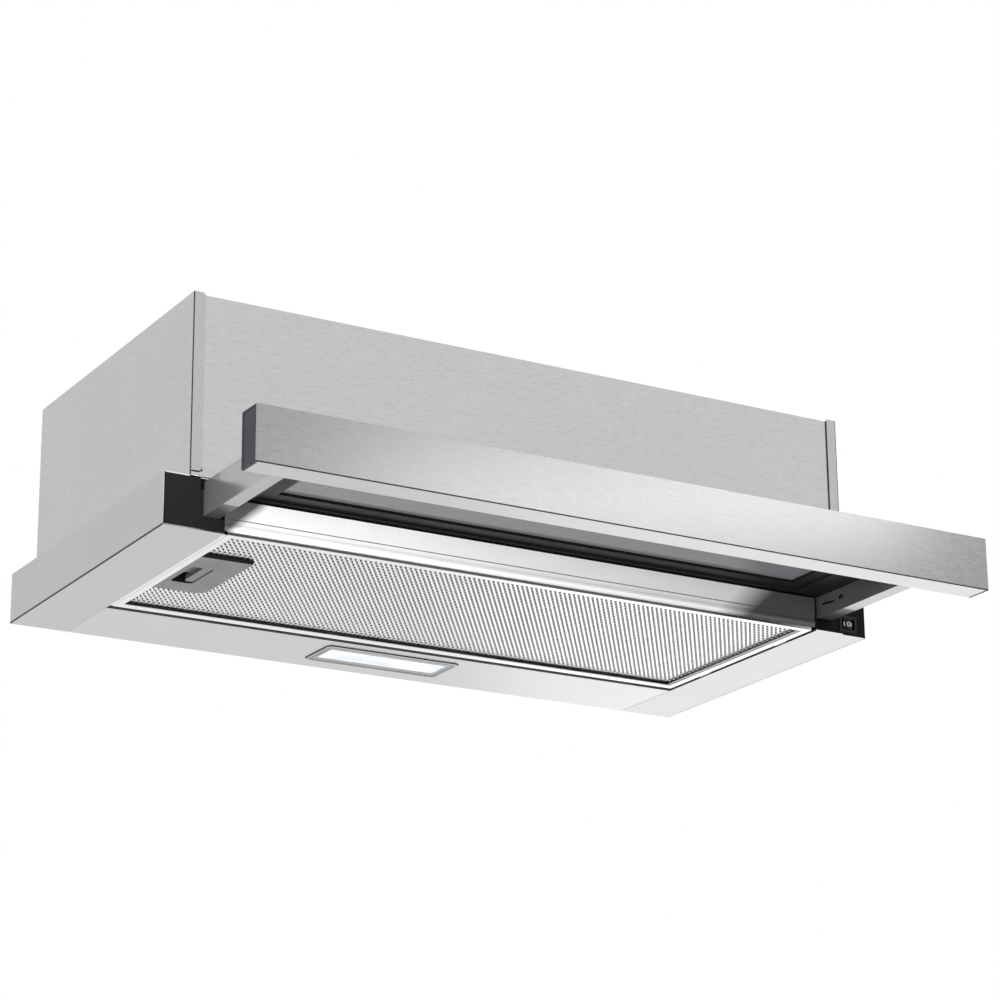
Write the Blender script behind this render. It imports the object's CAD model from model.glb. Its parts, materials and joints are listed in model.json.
"""Looks of the pull-out range hood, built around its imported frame. X right, Y back, Z up."""
import json
import math

import bmesh
import bpy
import numpy as np
from mathutils import Matrix, Vector

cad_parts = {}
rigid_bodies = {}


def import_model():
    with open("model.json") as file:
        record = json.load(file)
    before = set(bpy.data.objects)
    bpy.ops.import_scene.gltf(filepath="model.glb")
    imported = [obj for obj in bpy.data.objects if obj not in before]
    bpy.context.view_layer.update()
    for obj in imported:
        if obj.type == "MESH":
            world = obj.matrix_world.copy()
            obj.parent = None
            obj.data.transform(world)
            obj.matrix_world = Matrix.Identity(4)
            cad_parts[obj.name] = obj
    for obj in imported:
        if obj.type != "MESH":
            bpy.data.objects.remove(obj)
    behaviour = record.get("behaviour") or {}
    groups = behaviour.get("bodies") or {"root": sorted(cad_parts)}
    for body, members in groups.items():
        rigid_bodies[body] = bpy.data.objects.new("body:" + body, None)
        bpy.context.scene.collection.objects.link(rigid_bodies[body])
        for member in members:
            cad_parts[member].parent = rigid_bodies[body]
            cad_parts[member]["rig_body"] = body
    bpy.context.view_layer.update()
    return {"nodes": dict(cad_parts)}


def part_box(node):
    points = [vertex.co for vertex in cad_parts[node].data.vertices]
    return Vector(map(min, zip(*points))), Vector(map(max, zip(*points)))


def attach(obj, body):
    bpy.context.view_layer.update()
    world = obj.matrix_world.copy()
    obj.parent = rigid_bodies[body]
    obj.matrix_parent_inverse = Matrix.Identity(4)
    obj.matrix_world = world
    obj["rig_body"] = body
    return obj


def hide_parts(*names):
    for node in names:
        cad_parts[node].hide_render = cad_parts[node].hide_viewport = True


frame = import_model()
NODES = frame["nodes"]
SCENE = bpy.context.scene
MM = 0.001                   # one millimetre in metres, the unit of every mesh


# ---------- camera ----------

IMAGE = 1000                 # the photograph's width and height in pixels
FOCAL = 3077.47              # focal length in those pixels
SENSOR = 36.0
CAMERA_AT = Vector((-1.1112, -1.8336, -0.6507))
HEADING = 30.5258            # degrees to the right of straight back
PITCH = 18.4729              # degrees above level
ROLL = -0.5163               # degrees about the line of sight


def make_camera():
    """The camera at the photograph's place."""
    data = bpy.data.cameras.new("camera")
    data.sensor_width = SENSOR
    data.lens = FOCAL * SENSOR / IMAGE
    data.clip_start = 0.01
    camera = bpy.data.objects.new("camera", data)
    SCENE.collection.objects.link(camera)
    turned = (Matrix.Rotation(math.radians(-HEADING), 4, "Z")
              @ Matrix.Rotation(math.radians(90 + PITCH), 4, "X")
              @ Matrix.Rotation(math.radians(ROLL), 4, "Z"))
    camera.matrix_world = Matrix.Translation(CAMERA_AT) @ turned
    SCENE.camera = camera


# ---------- materials ----------

MATS = {}                    # every finished material by its name
RAIL_DARK_LEFT = (-249, -240)       # where the rail's left dark end gives way to white, in mm
RAIL_DARK_RIGHT = (158, 188)        # and where the dark comes back toward the right end
RAIL_DARK = 0.34             # share of the rail's level that its dark ends keep
RAIL_LEAN = 1.1              # how far the dark ends' borders lean along X for their height
RAIL_WAVE = 0.008            # how far those borders waver, in metres


class Shader:
    """A node material on a Principled shader, with helpers for noise in object coordinates."""

    def __init__(self, name, **sockets):
        mat = bpy.data.materials.new(name)
        mat.use_nodes = True
        MATS[name] = mat
        self.tree = mat.node_tree
        self.bsdf = self.tree.nodes["Principled BSDF"]
        for key, value in sockets.items():
            self.bsdf.inputs[key.replace("_", " ")].default_value = value
        self.coords = self.add("ShaderNodeTexCoord").outputs["Object"]

    def add(self, kind):
        return self.tree.nodes.new(kind)

    def link(self, a, b):
        self.tree.links.new(a, b)

    def noise(self, scale, detail, rough):
        """Noise with a scale along each axis, in patches per metre."""
        mapping = self.add("ShaderNodeMapping")
        mapping.inputs["Scale"].default_value = scale
        self.link(self.coords, mapping.inputs["Vector"])
        tex = self.add("ShaderNodeTexNoise")
        tex.inputs["Scale"].default_value = 1.0
        tex.inputs["Detail"].default_value = detail
        tex.inputs["Roughness"].default_value = rough
        self.link(mapping.outputs["Vector"], tex.inputs["Vector"])
        return tex.outputs["Fac"]

    def between(self, fac, low, high, start=0.3, end=0.7):
        """A number that goes from low to high while the factor goes from start to end."""
        node = self.add("ShaderNodeMapRange")
        node.inputs["From Min"].default_value = start
        node.inputs["From Max"].default_value = end
        node.inputs["To Min"].default_value = low
        node.inputs["To Max"].default_value = high
        self.link(fac, node.inputs["Value"])
        return node.outputs["Result"]

    def blend(self, fac, a, b):
        """A colour between two colours or sockets. The numbers are the node's colour sockets."""
        node = self.add("ShaderNodeMix")
        node.data_type = "RGBA"
        for value, socket in ((fac, node.inputs[0]), (a, node.inputs[6]), (b, node.inputs[7])):
            if isinstance(value, bpy.types.NodeSocket):
                self.link(value, socket)
            else:
                socket.default_value = value
        return node.outputs[2]

    def times_plus(self, value, factor, addend):
        """A socket's value times a number, plus another socket's value."""
        node = self.add("ShaderNodeMath")
        node.operation = "MULTIPLY_ADD"
        self.link(value, node.inputs[0])
        node.inputs[1].default_value = factor
        self.link(addend, node.inputs[2])
        return node.outputs[0]

    def colour(self, socket):
        self.link(socket, self.bsdf.inputs["Base Color"])

    def roughness(self, socket):
        self.link(socket, self.bsdf.inputs["Roughness"])

    def bump(self, fac, height, strength):
        """Relief as high as height, in metres, where the factor is 1."""
        node = self.add("ShaderNodeBump")
        node.inputs["Distance"].default_value = height
        node.inputs["Strength"].default_value = strength
        self.link(fac, node.inputs["Height"])
        self.link(node.outputs["Normal"], self.bsdf.inputs["Normal"])


def grey(value, tint=(1, 1, 1)):
    """A colour from a grey level of 0 to 255 on screen, by the sRGB curve, with a faint tint."""
    v = value / 255
    linear = v / 12.92 if v <= 0.04045 else ((v + 0.055) / 1.055) ** 2.4
    return (linear * tint[0], linear * tint[1], linear * tint[2], 1)


def even(scale):
    """A noise scale that is the same along every axis."""
    return (scale, scale, scale)


def along(axis, long, across):
    """A noise scale that is coarse along one axis and fine across it."""
    scale = [across, across, across]
    scale["XYZ".index(axis)] = long
    return scale


def brushed(name, level, axis, rough, contrast, tint=(1, 1, 1), metallic=1.0, long=110,
            across=1900, relief=0.35):
    """Sheet steel brushed along an axis, with fine streaks, longer bands and faint smudges."""
    s = Shader(name, Metallic=metallic)
    fine = s.noise(along(axis, long, across), 4, 0.8)
    bands = s.noise(along(axis, 25, 420), 3, 0.6)
    cloud = s.noise(even(14), 2, 0.5)
    dark = grey(level * (1 - contrast), tint)
    light = grey(min(255, level * (1 + contrast)), tint)
    band = grey(level * 0.75, tint)
    smudge = grey(level * 0.8, tint)
    streaks = s.blend(s.between(fine, 0, 1, 0.34, 0.66), dark, light)
    banded = s.blend(s.between(bands, 0.04, 0, 0.35, 0.65), streaks, band)
    s.colour(s.blend(s.between(cloud, 0.05, 0, 0.35, 0.7), banded, smudge))
    s.roughness(s.between(fine, rough - 0.06, rough + 0.08))
    s.bump(fine, 0.04 * MM, relief)


def polished_rail(name, level):
    """Polished sheet that mirrors the dark arms near its ends, with faint rolling marks. The
    borders of the dark ends lean with the rail's height and waver a little."""
    s = Shader(name, Metallic=0.3)
    rolled = s.noise((30, 420, 420), 3, 0.6)
    cloud = s.noise(even(25), 2, 0.5)
    split_node = s.add("ShaderNodeSeparateXYZ")
    s.link(s.coords, split_node.inputs[0])
    leaning = s.times_plus(split_node.outputs["Z"], -RAIL_LEAN, split_node.outputs["X"])
    wavy = s.times_plus(cloud, RAIL_WAVE, leaning)
    right = s.between(wavy, 0, 1, RAIL_DARK_RIGHT[0] * MM, RAIL_DARK_RIGHT[1] * MM)
    left = s.between(wavy, 1, 0, RAIL_DARK_LEFT[0] * MM, RAIL_DARK_LEFT[1] * MM)
    dark = grey(level * RAIL_DARK)
    base = s.blend(rolled, grey(level * 0.97), grey(level))
    s.colour(s.blend(left, s.blend(right, base, dark), dark))
    s.roughness(s.between(cloud, 0.3, 0.45))
    s.bump(rolled, 0.03 * MM, 0.3)


def bright_metal(name, level, rough, grain=60, tint=(1, 1, 1), contrast=0.04, metallic=1.0):
    """Smooth rolled metal with faint rolling marks, cloudy gloss and small scuffs."""
    s = Shader(name, Metallic=metallic)
    rolled = s.noise(along("X", grain, grain * 14), 3, 0.6)
    cloud = s.noise(even(25), 2, 0.5)
    scuff = s.noise((900, 240, 900), 2, 0.5)
    scuffed = grey(level * 0.72, tint)
    base = s.blend(rolled, grey(level * (1 - contrast), tint), grey(level, tint))
    s.colour(s.blend(s.between(scuff, 0, 0.25, 0.66, 0.8), base, scuffed))
    s.roughness(s.between(cloud, rough * 0.85, rough * 1.15))
    s.bump(rolled, 0.03 * MM, 0.3)


def moulded(name, colour, rough, grain=1800, spread=0.12, specular=0.5):
    """Moulded plastic with a fine spark texture, worn smoother in patches."""
    s = Shader(name, Specular_IOR_Level=specular)
    spark = s.noise(even(grain), 2, 0.5)
    worn = s.noise(even(30), 3, 0.6)
    low = [c * (1 - spread) for c in colour[:3]] + [1]
    high = [min(1, c * (1 + spread)) for c in colour[:3]] + [1]
    base = s.blend(spark, low, high)
    s.colour(s.blend(s.between(worn, 0, 0.12, 0.45, 0.75), base, high))
    s.roughness(s.between(worn, rough + 0.08, rough - 0.08))
    s.bump(spark, 0.03 * MM, 0.4)


def painted(name, level, rough, tint=(1, 1, 1), metallic=0.0):
    """Powder paint with orange peel and faint rub marks."""
    s = Shader(name, Metallic=metallic)
    peel = s.noise(even(700), 2, 0.5)
    rub = s.noise((160, 12, 60), 3, 0.6)
    rubbed = grey(level * 0.9, tint)
    base = s.blend(peel, grey(level * 0.97, tint), grey(level * 1.02, tint))
    s.colour(s.blend(s.between(rub, 0, 0.12, 0.55, 0.8), base, rubbed))
    s.roughness(s.between(rub, rough + 0.02, rough - 0.02))
    s.bump(peel, 0.05 * MM, 0.3)


def wound(name, colour):
    """Enamelled wire laid in close turns across X."""
    s = Shader(name, Metallic=0.8)
    turns = s.noise(along("X", 1400, 60), 2, 0.5)
    lacquer = s.noise(even(60), 3, 0.6)
    dark = [c * 0.45 for c in colour] + [1]
    s.colour(s.blend(s.between(turns, 0, 1, 0.4, 0.6), dark, list(colour) + [1]))
    s.roughness(s.between(lacquer, 0.3, 0.55))
    s.bump(turns, 0.2 * MM, 0.6)


def smoked_glass(name):
    """Smoked pane that shows mostly its grey, with faint wipe marks in its gloss."""
    s = Shader(name, IOR=1.5, Specular_IOR_Level=0.12)
    tint = (0.96, 1, 1.05)
    wipe = s.noise((18, 140, 60), 3, 0.6)
    dust = s.noise(even(900), 1, 0.5)
    base = s.blend(wipe, grey(128, tint), grey(138, tint))
    s.colour(s.blend(s.between(dust, 0, 0.2, 0.7, 0.85), base, grey(160)))
    s.roughness(s.between(wipe, 0.08, 0.2))
    s.bump(wipe, 0.02 * MM, 0.2)


def milky_lens(name):
    """Ribbed milky diffuser, lit evenly from behind."""
    s = Shader(name, IOR=1.49, Emission_Strength=0.48, Subsurface_Weight=0.4,
               Subsurface_Radius=even(4 * MM))
    ribs = s.noise((2200, 60, 60), 1, 0.4)
    cloud = s.noise((24, 60, 24), 2, 0.5)
    base = s.blend(s.between(cloud, 0, 1), grey(206, (0.9, 1, 1.1)), grey(248, (0.98, 1, 1.02)))
    s.colour(base)
    s.link(base, s.bsdf.inputs["Emission Color"])
    s.roughness(s.between(cloud, 0.3, 0.5))
    s.bump(ribs, 0.08 * MM, 0.4)


COOL_BLACK = (0.95, 1, 1.1)  # tint of the caps' plastic

brushed("side_steel", 192, "Y", 0.36, 0.06)
brushed("front_steel", 199, "X", 0.3, 0.045, long=120, across=1000, relief=0.02)
brushed("flange_steel", 189, "Z", 0.3, 0.05, long=230, relief=0.1)
brushed("skirt_steel", 187, "Z", 0.36, 0.05)
brushed("strip_steel", 202, "Y", 0.34, 0.03)
brushed("rear_steel", 212, "X", 0.34, 0.03)
brushed("fascia_steel", 156, "X", 0.3, 0.055, (1, 0.998, 0.985), long=120, across=1000,
        relief=0.03)
brushed("return_steel", 204, "X", 0.34, 0.03, (1, 1, 1.01))
polished_rail("rail_steel", 250)
bright_metal("rail_groove", 60, 0.5, 30, metallic=0.3)
bright_metal("filter_aluminium", 240, 0.24)
bright_metal("net_aluminium", 245, 0.3, 400)
bright_metal("net_back", 150, 0.45, 400)
bright_metal("net_hem", 62, 0.5, 90, metallic=0.3)
bright_metal("edge_steel", 238, 0.2, 300)
brushed("bend_steel", 52, "Z", 0.45, 0.08, metallic=0.6)
moulded("cap_black", grey(22, COOL_BLACK), 0.45, specular=0.12)
moulded("cap_right", grey(15, COOL_BLACK), 0.5, specular=0.07)
moulded("cap_grey", grey(52, COOL_BLACK), 0.45, specular=0.14)
moulded("switch_black", grey(16), 0.35, 2400, specular=0.25)
moulded("rocker_black", grey(18), 0.3, 2400, specular=0.2)
moulded("symbol_white", grey(235), 0.5, 2400, 0.05)
moulded("visor_black", grey(34), 0.42, 1500, specular=0.1)
smoked_glass("smoked_glass")
milky_lens("milky_lens")
moulded("bezel_grey", grey(182, (1, 0.99, 1.03)), 0.35, spread=0.06)
moulded("bezel_line", grey(62), 0.5, specular=0.2)
moulded("bezel_light", grey(206, (0.99, 1, 1.01)), 0.35, spread=0.04)
moulded("bezel_dark", grey(160, (1.02, 1, 0.99)), 0.35, spread=0.1)
moulded("latch_grey", grey(118, (1, 1, 0.93)), 0.36, spread=0.05)
moulded("latch_shade", grey(40, (1, 1, 0.95)), 0.5, spread=0.05, specular=0.2)
painted("arm_paint", 160, 0.17, (1, 1, 1.02), 0.6)
painted("arm_inner", 92, 0.3, (1, 1, 1.03), 0.4)
moulded("slot_black", grey(12), 0.6, specular=0.1)
moulded("end_cap_grey", grey(41, (0.94, 0.95, 1.25)), 0.42, specular=0.2)
moulded("end_cap_rim", grey(22), 0.4, specular=0.2)
painted("carrier_black", 52, 0.45)
moulded("collar_black", grey(44), 0.45, 1200)
moulded("flap_grey", grey(168), 0.42, 1500, 0.06)
moulded("black_plastic", grey(30), 0.4, 1500)
moulded("white_plastic", grey(225, (1, 1, 0.98)), 0.4, 1500, 0.04)
bright_metal("galvanised", 190, 0.42, 90, (0.98, 1, 1.02), 0.14)
bright_metal("polished_steel", 215, 0.12, 200)
wound("copper_wire", (0.72, 0.32, 0.16))
painted("board_white", 228, 0.35, (1, 1, 0.97))


# ---------- mesh helpers ----------

WELD = 2e-6                  # corners of a node nearer than this, in metres, are one
FLAT_TURN = math.radians(1)  # faces of a node that turn less than this are one
ROUND_TURN = math.radians(35)       # an edge that turns more than this is rounded
SHARP_TURN = math.radians(40)       # an edge that turns more than this is shaded sharp


def add_object(name, mesh, mats):
    """A new object in the scene, with its materials."""
    obj = bpy.data.objects.new(name, mesh)
    SCENE.collection.objects.link(obj)
    for mat in mats:
        mesh.materials.append(MATS[mat])
    return obj


def mesh_from(name, verts, faces):
    """A mesh from points in metres, with its faces turned outward."""
    mesh = bpy.data.meshes.new(name)
    mesh.from_pydata([tuple(v) for v in verts], [], faces)
    bm = bmesh.new()
    bm.from_mesh(mesh)
    bmesh.ops.recalc_face_normals(bm, faces=bm.faces)
    bm.to_mesh(mesh)
    bm.free()
    return mesh


def prism_faces(base, count):
    """The faces of a prism between two loops of count points, the first from point base on."""
    ring = range(count)
    faces = [(base + i, base + (i + 1) % count, base + count + (i + 1) % count, base + count + i)
             for i in ring]
    faces.append(tuple(base + i for i in reversed(ring)))
    faces.append(tuple(base + count + i for i in ring))
    return faces


def add_part(name, body, mat, verts, faces):
    """A small piece that rides on a body, from points in mm."""
    obj = add_object(name, mesh_from(name, np.array(verts) * MM, faces), [mat])
    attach(obj, body)


def place(piece, node):
    """The piece rides with its node's body, stands for the node and takes its slot's finish."""
    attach(piece, NODES[node]["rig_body"])
    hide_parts(node)


def dress(node, mat, width, edge=None, cuts=(), marks=()):
    """Copies a node and rounds its edges by a width in mm, in the edge's own material if it has
    one. Cuts split its faces along planes, in mm. Marks give the faces that pass a test another
    material. A test gets the face's middle in mm and its normal."""
    mesh = bpy.data.meshes.new(node + "_shape")
    bm = bmesh.new()
    bm.from_mesh(NODES[node].data)
    bmesh.ops.remove_doubles(bm, verts=bm.verts, dist=WELD)
    bmesh.ops.dissolve_limit(bm, angle_limit=FLAT_TURN, verts=bm.verts, edges=bm.edges)
    bm.to_mesh(mesh)
    bm.free()
    obj = add_object(node + "_shape", mesh, [mat, edge or mat])
    for poly in mesh.polygons:
        poly.material_index = 0
    rounded = obj.modifiers.new("rounded", "BEVEL")
    rounded.width = width * MM
    rounded.segments = 2
    rounded.limit_method = "ANGLE"
    rounded.angle_limit = ROUND_TURN
    rounded.use_clamp_overlap = True
    rounded.material = 1 if edge else 0
    apply_modifiers(obj)
    obj.data.shade_smooth()
    obj.data.set_sharp_from_angle(angle=SHARP_TURN)
    weighted = obj.modifiers.new("weighted", "WEIGHTED_NORMAL")
    weighted.keep_sharp = True
    if cuts:
        split(obj.data, cuts)
    apply_modifiers(obj)
    for test, name in marks:
        obj.data.materials.append(MATS[name])
        index = len(obj.data.materials) - 1
        for poly in obj.data.polygons:
            if test(poly.center / MM, poly.normal):
                poly.material_index = index
    place(obj, node)


def split(mesh, cuts):
    """Splits the faces of a mesh along planes, each an axis and a place on it in mm."""
    bm = bmesh.new()
    bm.from_mesh(mesh)
    for axis, value in cuts:
        normal = Vector([1.0 if name == axis else 0.0 for name in "XYZ"])
        bmesh.ops.bisect_plane(bm, geom=bm.verts[:] + bm.edges[:] + bm.faces[:], dist=1e-6,
                               plane_co=normal * value * MM, plane_no=normal)
    bm.to_mesh(mesh)
    bm.free()


def apply_modifiers(obj):
    """Puts the result of an object's modifiers in place of its mesh."""
    bpy.context.view_layer.update()
    graph = bpy.context.evaluated_depsgraph_get()
    mesh = bpy.data.meshes.new_from_object(obj.evaluated_get(graph), depsgraph=graph)
    obj.modifiers.clear()
    old = obj.data
    obj.data = mesh
    bpy.data.meshes.remove(old)


def paint(node, mat):
    """Gives a node that keeps its shape a better material."""
    for slot in NODES[node].material_slots:
        slot.material = MATS[mat]


# ---------- casing: sizes in mm ----------

SQUARE = 0.7                 # a face looks along an axis if its normal has more than this of it
SKIN = 0.2                   # a face lies on a plane if its middle is nearer to it than this
FOLD = 0.6                   # width of the dark line that a sharp fold shows
SHEET = 0.8                  # thickness of the box's sheets
SKIRT_X = 297                # outer face of a skirt
SKIRT_REAR_Y = 277
SKIRT_FOLD_Z = 2 * FOLD      # height of the dark line along a skirt's bottom edge
BOX_X = 277.5                # outer face of a side panel
CORNER_FOLD_Y = 1.6 * FOLD   # depth of the dark line along a side panel's front edge
CORNER_FOLD_Z = 43           # where that line starts, above the ledge
FLANGE_X = 268.5             # inner edge of the side panels' front flanges
FLANGE_END_Z = 47            # top of the flanges' rounded bottom ends
FASCIA_Y = -148.2            # front face of the fascia
FASCIA_FOLD_Z = 1.4 * FOLD   # height of the dark line along the fascia's bottom edge
END_RIM = 0.9                # width of the dark rim round an end cap's face
END_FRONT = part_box("end_cap_left")[0].y / MM + END_RIM
END_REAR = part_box("end_cap_left")[1].y / MM - END_RIM
ARM_IN = 254.3               # inner wall of an arm
ARM_Z0 = 10.6                # underside of an arm
ARM_LIP_END = -30            # where an arm's bright lower lip ends, short of the corner cap
ARM_SLOT_Y = -40             # front limit of the black slots in an arm's inner wall
ARM_SLOT_TOP = 26            # and their top
RAIL_GROOVE_Z = (10.6, 12)   # groove along the front rail
RAIL_FOOT_Z = 1.95           # top of the rail's dark bottom edge
LATCH_FRONT_Y = 56.5         # the latch plate's front edge lies before this
RECESS_X = (-237.9, -219.6)  # finger recess with its rim
RECESS_Y = (79.8, 119.2)
RECESS_Z = 0.9
BEZEL_LIGHT_Y = 221          # the bezel's front bar lies before this
BEZEL_DARK_Y = 251           # and its rear bar behind this
BEZEL_SIDE_X = 57            # the seams beside the bezel lie past this
BEZEL_FRONT_Y = 216          # and the seam before it lies before this


def flange_front(c, n):
    return n.y < -SQUARE and c.y < SKIN


def flange_edge(c, n):
    """The rounded bottom end of a flange, and the right flange's inner edge."""
    bottom = n.z < -0.4 and c.z < FLANGE_END_Z
    inner = n.x < -0.6 and c.x > 0
    return c.y < SHEET and abs(c.x) < BOX_X - FOLD and (bottom or inner)


def right_flange_line(c, n):
    return c.y < SHEET and 0 < c.x < FLANGE_X + FOLD


def corner_fold(c, n):
    return abs(c.x) > BOX_X - FOLD and c.y < CORNER_FOLD_Y and c.z > CORNER_FOLD_Z


def strip_face(c, n):
    return n.z < -SQUARE and c.z < SKIN


def skirt_end(c, n):
    return n.y < -SQUARE and c.y < SKIN / 2


def skirt_fold(c, n):
    turned = n.z < -0.3 or abs(n.x) > 0.3
    return abs(c.x) > SKIRT_X - FOLD and c.z < SKIRT_FOLD_Z and c.y < SKIRT_REAR_Y and turned


def arm_inside(c, n):
    return abs(n.x) > SQUARE and n.x * c.x < 0


def arm_underside(c, n):
    return n.z < -SQUARE and c.z < ARM_Z0 + 0.5 and c.y > ARM_LIP_END


def arm_slot(c, n):
    in_wall = abs(c.x) < ARM_IN + 2 and abs(n.x) < 0.5
    return in_wall and c.y > ARM_SLOT_Y and ARM_Z0 + 2 < c.z < ARM_SLOT_TOP


def end_cap_rim(c, n):
    return not END_FRONT < c.y < END_REAR


def rail_dark(c, n):
    return RAIL_GROOVE_Z[0] < c.z < RAIL_GROOVE_Z[1] or c.z < RAIL_FOOT_Z


def fascia_return(c, n):
    return n.z < -SQUARE and c.z < SKIN / 2


def fascia_fold(c, n):
    return c.z < FASCIA_FOLD_Z and c.y < FASCIA_Y + FOLD


def latch_front(c, n):
    return n.y < -0.5 and c.y < LATCH_FRONT_Y


def latch_recess(c, n):
    across = RECESS_X[0] < c.x < RECESS_X[1] and RECESS_Y[0] < c.y < RECESS_Y[1]
    return across and c.z > RECESS_Z


def bezel_front_bar(c, n):
    return n.z < -SQUARE and c.y < BEZEL_LIGHT_Y


def bezel_rear_bar(c, n):
    return n.z < -SQUARE and c.y > BEZEL_DARK_Y


def bezel_edge(c, n):
    outer = abs(c.x) > BEZEL_SIDE_X or c.y < BEZEL_FRONT_Y
    return abs(n.z) < 0.5 and c.z < SKIN / 4 and outer


for side, sign in (("left", -1), ("right", 1)):
    dress("side_panel_" + side, "side_steel", 0.2, "edge_steel",
          cuts=[("X", sign * (BOX_X - FOLD)), ("Y", CORNER_FOLD_Y),
                ("X", sign * (FLANGE_X + FOLD))],
          marks=[(flange_front, "flange_steel"), (flange_edge, "bend_steel"),
                 (right_flange_line, "bend_steel"), (corner_fold, "bend_steel")])
    dress("skirt_" + side, "skirt_steel", 0.2, "edge_steel",
          cuts=[("X", sign * (SKIRT_X - FOLD)), ("Z", SKIRT_FOLD_Z)],
          marks=[(strip_face, "strip_steel"), (skirt_end, "edge_steel"),
                 (skirt_fold, "bend_steel")])
    dress("corner_cap_" + side, "cap_black" if sign < 0 else "cap_right", 0.3)
    dress("arm_" + side, "arm_paint", 0.4, cuts=[("Y", ARM_LIP_END)],
          marks=[(arm_inside, "arm_inner"), (arm_underside, "arm_inner"),
                 (arm_slot, "slot_black")])
    dress("end_cap_" + side, "end_cap_grey", 0.15,
          cuts=[("Y", END_FRONT), ("Y", END_REAR)], marks=[(end_cap_rim, "end_cap_rim")])
dress("front_panel", "front_steel", 0.2, "edge_steel")
dress("back_panel", "front_steel", 0.2, "edge_steel")
dress("top_panel", "front_steel", 0.2, "edge_steel")
dress("rear_strip", "rear_steel", 0.25, "edge_steel")
dress("front_rail", "rail_steel", 0.2, marks=[(rail_dark, "rail_groove")])
dress("fascia", "fascia_steel", 0.2,
      cuts=[("Z", FASCIA_FOLD_Z), ("Y", FASCIA_Y + FOLD)],
      marks=[(fascia_return, "return_steel"), (fascia_fold, "bend_steel")])
dress("fascia_carrier", "carrier_black", 0.2)
dress("visor_frame", "visor_black", 0.4)
dress("visor_glass", "smoked_glass", 0.4)
dress("filter_frame", "filter_aluminium", 0.25)
dress("latch_plate", "latch_grey", 0.3,
      marks=[(latch_front, "latch_shade"), (latch_recess, "latch_shade")])
dress("latch_slider", "latch_grey", 0.6)
dress("lamp_bezel", "bezel_grey", 0.4,
      cuts=[("Y", BEZEL_LIGHT_Y), ("Y", BEZEL_DARK_Y)],
      marks=[(bezel_front_bar, "bezel_light"), (bezel_rear_bar, "bezel_dark"),
             (bezel_edge, "bezel_line")])
dress("lamp_lens", "milky_lens", 0.3)
dress("switch_housing", "switch_black", 0.3)
dress("switch_rocker", "rocker_black", 0.4)
dress("outlet_collar", "collar_black", 0.4)
dress("damper_flap_front", "flap_grey", 0.3)
dress("damper_flap_rear", "flap_grey", 0.3)
dress("cable_gland", "black_plastic", 0.4)


# ---------- filter net: sizes in mm ----------

NET_PITCH_X = 4.05           # distance between strands
NET_PITCH_Y = 5.73           # distance between cross strands
NET_SLOPE = 0.704            # how far a strand goes along X for each mm along Y
NET_STEP = 0.5               # how closely a strand's ends meet the net's border
NET_SHORTEST = 1             # a shorter stretch of strand is left out
NET_MARGIN = 0.4             # room between the net and the latch plate
# Profiles of the strands: X from the strand's line, and height.
FLAT_STRAND = [(-1.2, 3.75), (-0.85, 3.0), (0.85, 3.0), (1.2, 3.75), (0.6, 4.2), (-0.6, 4.2)]
CROSS_STRAND = [(-0.7, 4.1), (0, 3.4), (0.7, 4.1), (0, 4.6)]
BACK_STRAND = [(-1.0, 6.4), (0, 5.7), (1.0, 6.4), (0, 6.9)]


def net():
    """The net's two layers: flat strands with short cross strands, and a coarser layer above
    them that slopes the other way."""
    low, high = (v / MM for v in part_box("filter_mesh"))
    plate_low, plate_high = (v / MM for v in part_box("latch_plate"))
    verts, faces, marks = [], [], []

    def inside(x, y):
        if not (low.x <= x <= high.x and low.y <= y <= high.y):
            return False
        beside_plate = plate_low.y - NET_MARGIN < y < plate_high.y + NET_MARGIN
        return not (beside_plate and x < plate_high.x + NET_MARGIN)

    def point(x0, slope, y):
        return (x0 + slope * (y - low.y), y)

    def runs(x0, slope):
        """The end points of each stretch of a sloping line that lies inside the net."""
        stretches = [[]]
        for y in np.arange(low.y, high.y + NET_STEP / 2, NET_STEP):
            if inside(*point(x0, slope, y)):
                stretches[-1].append(y)
            else:
                stretches.append([])
        return [(point(x0, slope, ys[0]), point(x0, slope, ys[-1]))
                for ys in stretches if ys and ys[-1] - ys[0] > NET_SHORTEST]

    def strand(a, b, profile, mark):
        new = prism_faces(len(verts), len(profile))
        for x, y in (a, b):
            verts.extend((x + dx, y, z) for dx, z in profile)
        faces.extend(new)
        marks.extend([mark] * len(new))

    reach = NET_SLOPE * (high.y - low.y)
    count = (high.x - low.x + reach) / NET_PITCH_X
    for i in range(int(count) + 1):
        x0 = low.x - reach + i * NET_PITCH_X
        for a, b in runs(x0, NET_SLOPE):
            strand(a, b, FLAT_STRAND, 0)
        y = low.y + 1
        while y < high.y:
            a = point(x0, NET_SLOPE, y)
            b = (a[0] - NET_PITCH_X / 2, y + NET_PITCH_Y / 2)
            if inside(*a) and inside(*b):
                strand(a, b, CROSS_STRAND, 0)
            y += NET_PITCH_Y
    for i in range(int(count / 2) + 1):
        for a, b in runs(low.x + i * NET_PITCH_X * 2, -NET_SLOPE):
            strand(a, b, BACK_STRAND, 1)
    mesh = mesh_from("filter_net", np.array(verts) * MM, faces)
    obj = add_object("filter_net", mesh, ["net_aluminium", "net_back"])
    for poly, mark in zip(mesh.polygons, marks):
        poly.material_index = mark
    place(obj, "filter_mesh")


net()


# ---------- thin plates and seams: sizes in mm ----------

FLANGE_GAP_Y = (0.55, 0.85)  # plates behind the left flange's bottom end
CAP_Y = (-0.12, 0.3)         # plates on the corner caps' front faces
CAP_LINE_Y = (-0.14, 0.3)    # lines on top of those plates
LAMP_MIDDLE = (0, 236.5)
LAMP_SIZE = (117, 43.8)      # the bezel's outline
LAMP_CORNER = 5              # radius of its corners
CORNER_STEPS = 6


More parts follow.
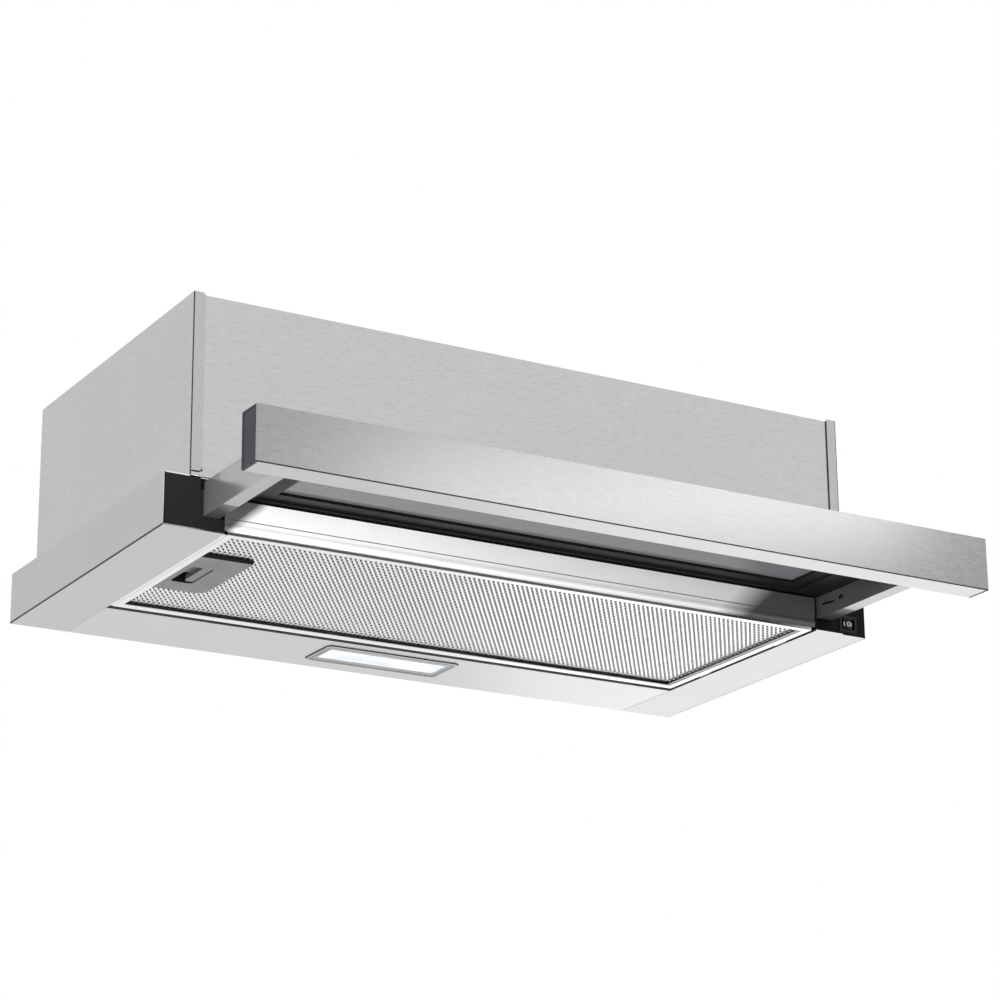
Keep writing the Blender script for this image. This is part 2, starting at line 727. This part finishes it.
def plates(name, body, slot, mat, *boxes):
    """Thin plates, each given by its ranges along X, Y and Z."""
    verts, faces = [], []
    for xs, ys, zs in boxes:
        base = len(verts)
        verts.extend((x, y, z) for x in xs for y in ys for z in zs)
        faces.extend(tuple(base + i for i in quad) for quad in (
            (0, 1, 3, 2), (4, 6, 7, 5), (0, 4, 5, 1), (2, 3, 7, 6), (0, 2, 6, 4), (1, 5, 7, 3)))
    add_part(name, body, mat, verts, faces)


def bezel_ring(name, grow, line, z0, z1):
    """A line of a given width round the lamp. Its outer edge is grow outside the bezel's edge."""
    width, depth = (length + 2 * grow for length in LAMP_SIZE)
    radius = LAMP_CORNER + grow
    corners = []
    for inset in (0, line):
        loop = []
        for k, (sx, sy) in enumerate(((1, 1), (-1, 1), (-1, -1), (1, -1))):
            cx, cy = sx * (width / 2 - radius), sy * (depth / 2 - radius)
            for i in range(CORNER_STEPS + 1):
                a = math.pi / 2 * (k + i / CORNER_STEPS)
                loop.append((LAMP_MIDDLE[0] + cx + (radius - inset) * math.cos(a),
                             LAMP_MIDDLE[1] + cy + (radius - inset) * math.sin(a)))
        corners.append(loop)
    count = len(corners[0])
    verts = [(x, y, z) for z in (z0, z1) for loop in corners for x, y in loop]
    faces = []
    for i in range(count):
        j = (i + 1) % count
        for a, b in ((0, 1), (1, 3), (3, 2), (2, 0)):
            faces.append((a * count + i, a * count + j, b * count + j, b * count + i))
    add_part(name, "hood", "bezel_line", verts, faces)


# Dark hem behind the net's rear edge.
plates("filter_hem", "filter", "aluminium_mesh", "net_hem",
       ((-245, 245), (190.8, 196.4), (2.6, 2.9)))
# Bright edge of the opening at its left, seen through the gap beside the filter.
plates("gap_lip", "hood", "casing_steel", "edge_steel",
       ((-250.5, -247.5), (2, 197), (0.25, 0.8)))
# Edges of the filter's right rail.
plates("filter_lip", "filter", "aluminium_mesh", "galvanised",
       ((247, 248.3), (3, 196), (0.7, 1.1)),
       ((239.2, 242), (6, 191.5), (1.0, 1.3)))
# Dark gap under the left flange's rounded end, in three steps.
plates("flange_gap_left", "hood", "casing_steel", "bend_steel",
       ((-276.8, -271.2), FLANGE_GAP_Y, (42, 42.7)),
       ((-271.3, -269.8), FLANGE_GAP_Y, (42.3, 43.4)),
       ((-270, -268), FLANGE_GAP_Y, (43, 45.3)))
# Mouth of the slot that the left arm slides in, and the bright sheet edge above it.
plates("slot_mouth_left", "hood", "cap_plastic", "slot_black",
       ((-269.3, -266.4), (-0.12, 0.2), (29.5, 38.7)))
plates("slot_lip_left", "hood", "cap_plastic", "edge_steel",
       ((-269.3, -262.5), (-0.16, 0.1), (37.5, 38)))
# Raised borders of the corner caps, and the fine line inside the right one.
plates("cap_edge_left", "hood", "cap_plastic", "cap_black",
       ((-296.6, -295.8), CAP_Y, (0.9, 38.6)))
plates("cap_edge_right", "hood", "cap_plastic", "cap_right",
       ((295.8, 297), CAP_Y, (0.05, 38.6)),
       ((276, 296), CAP_Y, (0.3, 1.2)))
plates("cap_line_right", "hood", "cap_plastic", "cap_grey",
       ((294.2, 294.5), CAP_LINE_Y, (2.2, 26)),
       ((271, 294.5), CAP_LINE_Y, (1.9, 2.2)))
bezel_ring("bezel_seam", 0.7, 0.7, -0.12, 0.02)
bezel_ring("bezel_groove", -2.6, 0.35, -0.86, -0.7)
bezel_ring("bezel_step", -3.9, 0.3, -0.86, -0.7)


# ---------- rocker symbols: sizes in mm ----------

ROCKER_R = 7.0               # radius of the rocker's round face
MARK_Z = 9.25                # height of the marks' middle
MARK_HALF = 1.75             # half the height of a mark
MARK_LINE = 0.6              # width of a bar
MARK_RAISED = 0.06           # how far the marks stand out of the face
MARK_SUNK = 0.1              # and how far they reach into it
RING_HALF = 1.6              # half the ring's width
RING_INSIDE = 0.66           # share of the ring that is open
RING_STEPS = 20
RING_AT = -0.1               # places of the marks, from the rocker's middle
BARS_AT = (-3.4, 2.75, 3.95)


def symbols():
    """The generic speed marks on the rocker: one bar, a ring and two bars, raised a hair."""
    low, high = (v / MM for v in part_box("switch_rocker"))
    axis_x, axis_y = (low.x + high.x) / 2, low.y + ROCKER_R
    verts, faces = [], []

    def on_face(u, z, out):
        return (axis_x + u, axis_y - math.sqrt(ROCKER_R ** 2 - u ** 2) - out, MARK_Z + z)

    def outline(points):
        faces.extend(prism_faces(len(verts), len(points)))
        for out in (MARK_RAISED, -MARK_SUNK):
            verts.extend(on_face(u, z, out) for u, z in points)

    for u in BARS_AT:
        outline([(u - MARK_LINE / 2, -MARK_HALF), (u + MARK_LINE / 2, -MARK_HALF),
                 (u + MARK_LINE / 2, MARK_HALF), (u - MARK_LINE / 2, MARK_HALF)])
    for i in range(RING_STEPS):
        a0, a1 = (2 * math.pi * k / RING_STEPS for k in (i, i + 1))
        outline([(RING_AT + RING_HALF * r * math.cos(a), MARK_HALF * r * math.sin(a))
                 for a, r in ((a0, 1), (a1, 1), (a1, RING_INSIDE), (a0, RING_INSIDE))])
    add_part("rocker_marks", "rocker", "symbol_white", verts, faces)


symbols()


# ---------- knock-outs: sizes in mm ----------

SCREW_HOLE_Y = (59, 219)     # the side panels' screw holes
SCREW_HOLE_Z = 90
DISC_R = 2.42                # a disc almost fills its hole
DISC_T = 0.6
DISC_DEPTH = 0.05            # how far a disc's face lies under the panel's
DISC_STEPS = 32


def knockouts(side, sign):
    """Flush discs of the panel's own steel in its screw holes, pushed out for the screws."""
    outer = sign * (BOX_X - DISC_DEPTH)
    verts, faces = [], []
    for y in SCREW_HOLE_Y:
        faces.extend(prism_faces(len(verts), DISC_STEPS))
        for x in (outer, outer - sign * DISC_T):
            for i in range(DISC_STEPS):
                a = 2 * math.pi * i / DISC_STEPS
                verts.append((x, y + DISC_R * math.cos(a), SCREW_HOLE_Z + DISC_R * math.sin(a)))
    add_part("knockouts_" + side, "hood", "side_steel", verts, faces)


knockouts("left", -1)
knockouts("right", 1)


# ---------- pieces that keep their shape ----------

for names, mat in (
    ("scroll_left scroll_right motor_bracket", "carrier_black"),
    ("impeller terminal_box wiring_loom drawer_switch", "black_plastic"),
    ("motor_case motor_end_shield outer_rail_left outer_rail_right inner_rail_left "
     "inner_rail_right ball_cage_left ball_cage_right motor_rotor", "galvanised"),
    ("damper_rod motor_shaft motor_bearings rail_balls_left rail_balls_right latch_spring "
     "frame_screws fascia_screws", "polished_steel"),
    ("motor_stator", "copper_wire"),
    ("capacitor lamp_driver switch_plunger", "white_plastic"),
    ("lamp_board", "board_white"),
):
    for name in names.split():
        paint(name, mat)


# ---------- light, floor and background: metres and watts ----------

WHITE = (1, 1, 1, 1)
SHOWN_STRENGTH = 1.0         # background that the camera, mirrors and glass see
LIGHT_STRENGTH = 0.85        # background that lights the hood
FLOOR_HALF = 24              # half the floor's side
FLOOR_Z = -3.2
FLOOR_COLOUR = (0.9, 0.9, 0.9, 1)
FLOOR_ROUGH = 0.9


def lamp(name, at, aim, size, power, only=()):
    """A soft oblong lamp. It lights everything, or only the pieces named."""
    data = bpy.data.lights.new(name, "AREA")
    data.shape = "RECTANGLE"
    data.size, data.size_y = size
    data.energy = power
    obj = bpy.data.objects.new(name, data)
    SCENE.collection.objects.link(obj)
    obj.location = at
    obj.rotation_euler = (Vector(aim) - Vector(at)).to_track_quat("-Z", "Y").to_euler()
    obj.visible_camera = False
    if only:
        lit = bpy.data.collections.new(name + "_lights")
        for piece in only:
            lit.objects.link(bpy.data.objects[piece])
        obj.light_linking.receiver_collection = lit


def larger(tree, a, b):
    """The larger of two sockets' values."""
    node = tree.nodes.new("ShaderNodeMath")
    node.operation = "MAXIMUM"
    tree.links.new(a, node.inputs[0])
    tree.links.new(b, node.inputs[1])
    return node.outputs[0]


def white_background(tree, strength):
    node = tree.nodes.new("ShaderNodeBackground")
    node.inputs["Color"].default_value = WHITE
    node.inputs["Strength"].default_value = strength
    return node.outputs[0]


def show_mix(tree, fac, a, b, out):
    """Mixes two shaders by a factor and shows the result as an output node's surface."""
    mix = tree.nodes.new("ShaderNodeMixShader")
    for value, socket in zip((fac, a, b), mix.inputs):
        tree.links.new(value, socket)
    tree.links.new(mix.outputs[0], out.inputs["Surface"])


def make_world():
    """A plain white background, a little dimmer as a light than as it is seen."""
    world = bpy.data.worlds.new("studio")
    SCENE.world = world
    world.use_nodes = True
    tree = world.node_tree
    tree.nodes.clear()
    ray = tree.nodes.new("ShaderNodeLightPath").outputs
    seen = larger(tree, ray["Is Camera Ray"], ray["Is Glossy Ray"])
    shown = larger(tree, seen, ray["Is Transmission Ray"])
    show_mix(tree, shown, white_background(tree, LIGHT_STRENGTH),
             white_background(tree, SHOWN_STRENGTH), tree.nodes.new("ShaderNodeOutputWorld"))


def make_floor():
    """A wide pale floor well under the hood, which hangs in the air as it does on a wall. In
    mirrors it is plain white."""
    corners = [(x * FLOOR_HALF, y * FLOOR_HALF, FLOOR_Z)
               for x, y in ((-1, -1), (1, -1), (1, 1), (-1, 1))]
    mesh = mesh_from("floor", corners, [(0, 1, 2, 3)])
    mat = bpy.data.materials.new("floor_white")
    mat.use_nodes = True
    tree = mat.node_tree
    bsdf = tree.nodes["Principled BSDF"]
    bsdf.inputs["Base Color"].default_value = FLOOR_COLOUR
    bsdf.inputs["Roughness"].default_value = FLOOR_ROUGH
    ray = tree.nodes.new("ShaderNodeLightPath").outputs
    glow = tree.nodes.new("ShaderNodeEmission")
    glow.inputs["Strength"].default_value = SHOWN_STRENGTH
    show_mix(tree, ray["Is Glossy Ray"], bsdf.outputs[0], glow.outputs[0],
             tree.nodes["Material Output"])
    floor = bpy.data.objects.new("floor", mesh)
    SCENE.collection.objects.link(floor)
    mesh.materials.append(mat)


make_camera()
make_world()
make_floor()
lamp("sheen", at=(0.245, -0.55, 0.18), aim=(-0.05, -0.148, 0.02), size=(0.49, 0.1), power=0.42,
     only=["fascia_shape", "end_cap_left_shape", "end_cap_right_shape",
           "corner_cap_right_shape"])
lamp("under_right", at=(1.25, 1.3, -0.42), aim=(0.2, 0.1, 0), size=(0.9, 0.9), power=1.3)
lamp("rail_light", at=(-0.4, -0.5, -0.14), aim=(0, 0, 0.02), size=(0.2, 0.1), power=4,
     only=["front_rail_shape", "arm_left_shape", "arm_right_shape", "corner_cap_left_shape",
           "end_cap_left_shape"])
SCENE.view_settings.view_transform = "Standard"
